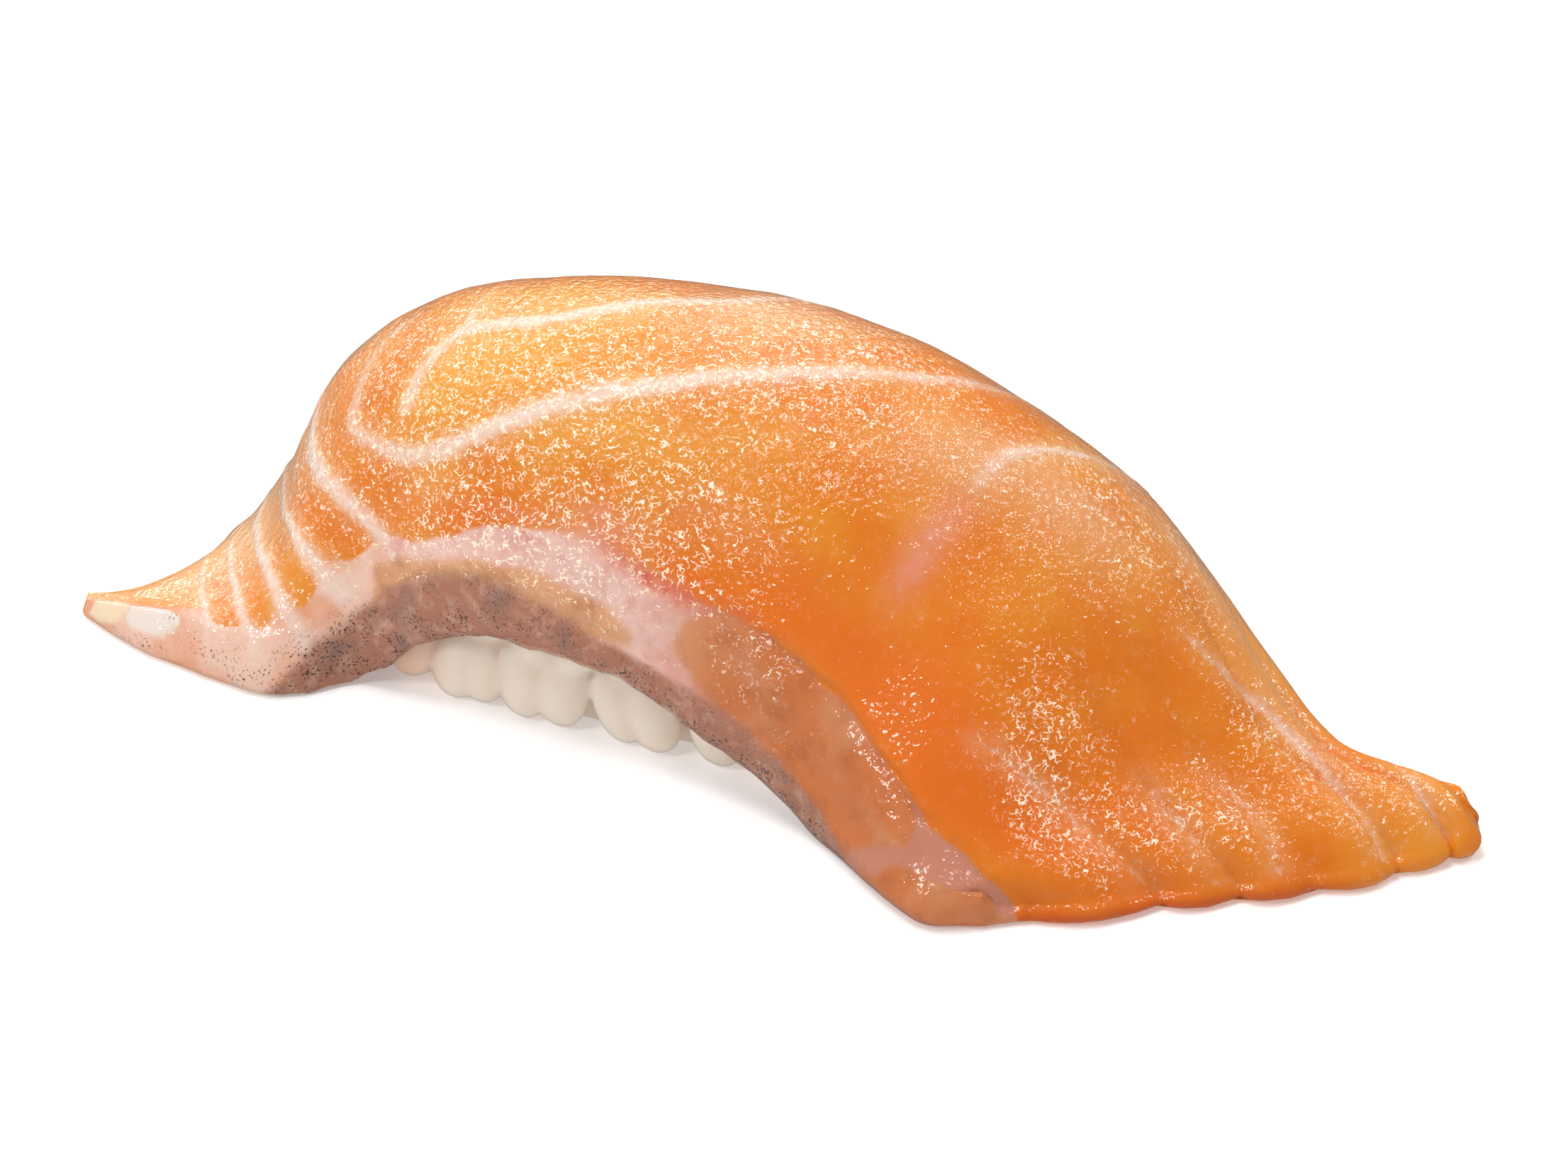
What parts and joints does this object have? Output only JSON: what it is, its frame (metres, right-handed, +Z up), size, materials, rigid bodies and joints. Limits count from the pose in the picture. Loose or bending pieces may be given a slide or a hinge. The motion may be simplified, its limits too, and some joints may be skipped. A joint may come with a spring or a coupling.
{
  "type": "salmon nigiri",
  "caption": "Pressed block of sushi rice with one long slice of raw salmon draped over it, its tail and cut end lying on the plate.",
  "frame": {"origin": "middle of the object's box in plan, on the surface that it stands on", "axes": "+X along the slice from its pointed tail to its cut end, +Y away from the side with the skin-side band, +Z up"},
  "size_m": [0.0982, 0.0383, 0.0268],
  "materials": {
    "salmon": "wet raw salmon with pale connective lines and a grey-brown skin-side band",
    "rice": "cooked sushi rice, slightly see-through and moist"
  },
  "bodies": {
    "root": {"rice": "rice", "salmon_slice": "salmon"}
  },
  "joints": []
}
